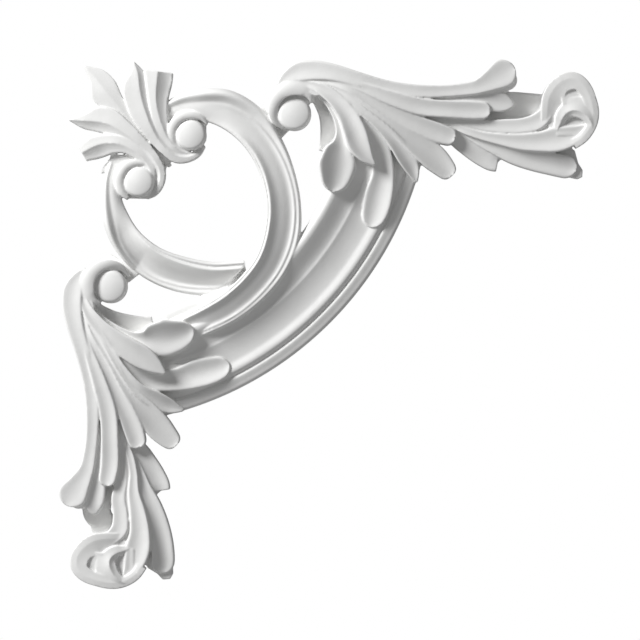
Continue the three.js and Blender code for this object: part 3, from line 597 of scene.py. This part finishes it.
def behind_crossing(x, y):
    """The greatest height of the lower stem, which passes behind the upper one."""
    outside = math.dist((x, y), (CROSSING_X, CROSSING_Y)) > CROSSING_RADIUS
    return CROSSING_HEIGHT * RELIEF if outside and x > CROSSING_RIGHT_OF else RELIEF


def add_rail(shape):
    """The moulded section turned about the rail's centre."""
    section = curve_across(RAIL_SECTION)
    inner = RAIL_SECTION[0][0]
    outer = RAIL_SECTION[-1][0]

    def place(column, row):
        radius = inner + (outer - inner) * column / RAIL_ACROSS
        angle = RAIL_FROM + (RAIL_TO - RAIL_FROM) * row / RAIL_STATIONS
        x = RAIL_X + math.cos(angle) * radius
        y = RAIL_Y + math.sin(angle) * radius
        return x, y, section.at(radius)[0] * RELIEF

    lay(shape, RAIL_ACROSS, RAIL_STATIONS, place)


def ball_fall(out):
    """Squares that a ball's face falls from its crown at 0 to its side at 1."""
    edge = max(0, (out - BALL_EDGE_START) / (1 - BALL_EDGE_START))
    return BALL_DOME * out ** 2 + BALL_EDGE * edge ** BALL_EDGE_POWER


def add_ball(shape, x, y, radius, height):
    """A domed ball on a round post: a quarter outline spun about the ball's own axis."""
    size = radius * SQUARE
    centre = place_of(x, y, 0)
    outline = [Vector((0, STOCK, 0)), Vector((size, STOCK, 0))]
    for step in range(BALL_STEPS + 1):
        out = math.cos(math.pi / 2 * step / BALL_STEPS)
        outline.append(Vector((size * out, ball_fall(out) * SQUARE - height * RELIEF, 0)))
    outline[-1].x = 0
    verts = [shape.verts.new(centre + point) for point in outline]
    edges = [shape.edges.new(pair) for pair in zip(verts, verts[1:])]
    bmesh.ops.spin(
        shape, geom=verts + edges, cent=centre, axis=(0, 1, 0), angle=math.tau,
        steps=BALL_SIDES, use_merge=True,
    )


def add_bed(shape, height, outline):
    """A flat bed behind the lobes."""
    corners = [shape.verts.new(place_of(x, y, height * RELIEF)) for x, y in outline]
    push_back(shape, [shape.faces.new(corners)])


def folded(rows):
    """The same rows on the other side of the fold, with the second arm's small differences."""
    cos, sin = math.cos(2 * FOLD_ANGLE), math.sin(2 * FOLD_ANGLE)
    turned = []
    for x, y, *rest in rows:
        shares = [math.exp(-((x - row[0]) ** 2 + (y - row[1]) ** 2) / row[2] ** 2) for row in NUDGES]
        dx = x - FOLD_X + sum(share * row[3] for share, row in zip(shares, NUDGES))
        dy = y - FOLD_Y + sum(share * row[4] for share, row in zip(shares, NUDGES))
        new_x = cos * dx + sin * dy + FOLD_X + FOLD_RIGHT
        new_y = sin * dx - cos * dy + FOLD_Y + FOLD_DOWN
        turned.append([new_x, new_y, *rest])
    return turned


def folded_stroke(stroke):
    """A stroke of the second arm, whose left and right have changed sides."""
    return stroke._replace(path=folded(stroke.path), lean=-stroke.lean)


def folded_petal(petal):
    """A petal of the second arm, whose left and right have changed sides."""
    rows = [[x, y, right, left, height] for x, y, left, right, height in petal.path]
    return Petal(petal.right_slope, petal.left_slope, folded(rows))


def add_arms(shape):
    """Everything on the two arms but the balls."""
    for stroke in [*LEAF.values(), *SECOND_LEAF.values()]:
        add_stroke(shape, stroke)
        add_stroke(shape, folded_stroke(stroke))
    for petal in CURL.values():
        add_petal(shape, petal)
        add_petal(shape, folded_petal(petal))
    for height, outline in ARM_BEDS.values():
        add_bed(shape, height, outline)
        add_bed(shape, height, folded(outline))


def joined(shape, name):
    """One skin round everything in the shape, softened like a casting."""
    bmesh.ops.recalc_face_normals(shape, faces=shape.faces)
    rough = bpy.data.meshes.new(name + "_rough")
    shape.to_mesh(rough)
    carrier = bpy.data.objects.new(name + "_rough", rough)
    bpy.context.collection.objects.link(carrier)
    skin = carrier.modifiers.new("skin", "REMESH")
    skin.mode = "VOXEL"
    skin.voxel_size = VOXEL
    soften = carrier.modifiers.new("soften", "SMOOTH")
    soften.iterations = SOFTENING
    whole = evaluated(carrier)
    thin = carrier.modifiers.new("thin", "DECIMATE")
    triangles = 2 * len(whole.polygons)
    thin.ratio = min(1, MOST_TRIANGLES / triangles)
    mesh = evaluated(carrier)
    bpy.data.meshes.remove(whole)
    bpy.data.objects.remove(carrier)
    return mesh


def evaluated(carrier):
    """An object's mesh with its modifiers applied."""
    graph = bpy.context.evaluated_depsgraph_get()
    return bpy.data.meshes.new_from_object(carrier.evaluated_get(graph))


def flat_backed(mesh, name):
    """Cuts off the stock and closes the back with a flat face."""
    shape = bmesh.new()
    shape.from_mesh(mesh)
    everything = [*shape.verts, *shape.edges, *shape.faces]
    bmesh.ops.bisect_plane(
        shape, geom=everything, plane_co=(0, 0, 0), plane_no=(0, 1, 0), clear_outer=True,
    )
    rim = [edge for edge in shape.edges if edge.is_boundary]
    bmesh.ops.triangle_fill(shape, edges=rim, use_beauty=True, normal=(0, 1, 0))
    bmesh.ops.recalc_face_normals(shape, faces=shape.faces)
    finished = bpy.data.meshes.new(name)
    shape.to_mesh(finished)
    shape.free()
    finished.shade_smooth()
    finished.set_sharp_from_angle(angle=SMOOTH_EDGE)
    return finished


def primed_polyurethane():
    """Matt off-white primer over moulded polyurethane."""
    material = bpy.data.materials.new("primed_white_polyurethane")
    material.use_nodes = True
    nodes = material.node_tree.nodes
    links = material.node_tree.links
    shader = nodes["Principled BSDF"]
    place = nodes.new("ShaderNodeTexCoord")

    def noise(scale, detail):
        node = nodes.new("ShaderNodeTexNoise")
        node.inputs["Scale"].default_value = scale
        node.inputs["Detail"].default_value = detail
        links.new(place.outputs["Object"], node.inputs["Vector"])
        return node.outputs["Fac"]

    def spread(source, least, most):
        node = nodes.new("ShaderNodeMapRange")
        node.inputs["From Min"].default_value = NOISE_LOW
        node.inputs["From Max"].default_value = NOISE_HIGH
        node.inputs["To Min"].default_value = least
        node.inputs["To Max"].default_value = most
        links.new(source, node.inputs["Value"])
        return node.outputs["Result"]

    def raised(source, strength, distance, under=None):
        node = nodes.new("ShaderNodeBump")
        node.inputs["Strength"].default_value = strength
        node.inputs["Distance"].default_value = distance
        links.new(source, node.inputs["Height"])
        if under:
            links.new(under, node.inputs["Normal"])
        return node.outputs["Normal"]

    mottle = noise(*MOTTLE)
    tint = nodes.new("ShaderNodeMix")
    tint.data_type = "RGBA"
    tint.inputs["A"].default_value = PRIMER_DULL
    tint.inputs["B"].default_value = PRIMER
    links.new(spread(mottle, 0, 1), tint.inputs["Factor"])
    links.new(tint.outputs["Result"], shader.inputs["Base Color"])
    links.new(spread(noise(*SHEEN), *PRIMER_ROUGHNESS), shader.inputs["Roughness"])
    waves = raised(noise(*WAVES), WAVES_STRENGTH, WAVES_DEPTH)
    links.new(raised(noise(*GRAIN), GRAIN_STRENGTH, GRAIN_DEPTH, waves), shader.inputs["Normal"])
    return material


def make_casting():
    """The whole onlay, one piece in place of the plain solid."""
    shape = bmesh.new()
    for ball in BALLS:
        add_ball(shape, *ball)
    add_rail(shape)
    add_stem(shape, STEM_UNDER, -1, COVE_SLOPE_UNDER, behind_crossing)
    add_stem(shape, STEM_OVER, 1, COVE_SLOPE_OVER)
    for stroke in HEART_STROKES.values():
        add_stroke(shape, stroke)
    add_arms(shape)
    for petal in PALMETTE.values():
        add_petal(shape, petal)
    for height, outline in HEART_BEDS.values():
        add_bed(shape, height, outline)
    mesh = joined(shape, "onlay_casting")
    shape.free()
    casting = bpy.data.objects.new("onlay_casting", flat_backed(mesh, "onlay_casting"))
    bpy.context.collection.objects.link(casting)
    casting.data.materials.append(primed_polyurethane())
    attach(casting, "root")
    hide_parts("corner_onlay")


def make_floor():
    """A pale floor that throws a little light back up."""
    shape = bmesh.new()
    bmesh.ops.create_grid(shape, x_segments=1, y_segments=1, size=FLOOR_SIZE / 2)
    bmesh.ops.translate(shape, verts=shape.verts, vec=(0, 0, FLOOR_HEIGHT))
    mesh = bpy.data.meshes.new("floor")
    shape.to_mesh(mesh)
    shape.free()
    floor = bpy.data.objects.new("floor", mesh)
    bpy.context.collection.objects.link(floor)
    paint = bpy.data.materials.new("pale_floor")
    paint.use_nodes = True
    shader = paint.node_tree.nodes["Principled BSDF"]
    shader.inputs["Base Color"].default_value = FLOOR_COLOUR
    shader.inputs["Roughness"].default_value = FLOOR_ROUGHNESS
    mesh.materials.append(paint)


def make_light():
    """A round lamp that faces the origin."""
    lamp = bpy.data.lights.new("softbox", "AREA")
    lamp.shape = "DISK"
    lamp.size = LIGHT_SIZE
    lamp.energy = LIGHT_POWER
    softbox = bpy.data.objects.new("softbox", lamp)
    direction = LIGHT_FROM.normalized()
    softbox.location = direction * LIGHT_DISTANCE
    softbox.rotation_mode = "QUATERNION"
    softbox.rotation_quaternion = direction.to_track_quat("Z", "Y")
    bpy.context.collection.objects.link(softbox)


def make_world():
    """White behind the object, and a dimmer even light all round it."""
    world = bpy.data.worlds.new("studio")
    bpy.context.scene.world = world
    world.use_nodes = True
    nodes = world.node_tree.nodes
    links = world.node_tree.links
    seen = nodes["Background"]
    seen.inputs["Color"].default_value = WHITE
    seen.inputs["Strength"].default_value = 1
    light = nodes.new("ShaderNodeBackground")
    light.inputs["Color"].default_value = WHITE
    light.inputs["Strength"].default_value = AMBIENT
    ray = nodes.new("ShaderNodeLightPath")
    mix = nodes.new("ShaderNodeMixShader")
    links.new(ray.outputs["Is Camera Ray"], mix.inputs["Fac"])
    links.new(light.outputs["Background"], mix.inputs[1])
    links.new(seen.outputs["Background"], mix.inputs[2])
    links.new(mix.outputs["Shader"], nodes["World Output"].inputs["Surface"])


def make_camera():
    """A long lens straight in front of the drawing's middle."""
    lens = bpy.data.cameras.new("camera")
    lens.lens = CAMERA_LENS
    lens.sensor_width = CAMERA_SENSOR
    camera = bpy.data.objects.new("camera", lens)
    aim = place_of(FRAME_MIDDLE_X, FRAME_MIDDLE_Y, FRAME_DEPTH)
    distance = FRAME_SQUARES * SQUARE * CAMERA_LENS / CAMERA_SENSOR
    camera.location = aim + Vector((0, -distance, 0))
    camera.rotation_euler = (math.radians(90), 0, 0)
    bpy.context.collection.objects.link(camera)
    bpy.context.scene.camera = camera


make_casting()
make_floor()
make_light()
make_world()
make_camera()
bpy.context.scene.view_settings.view_transform = "Standard"
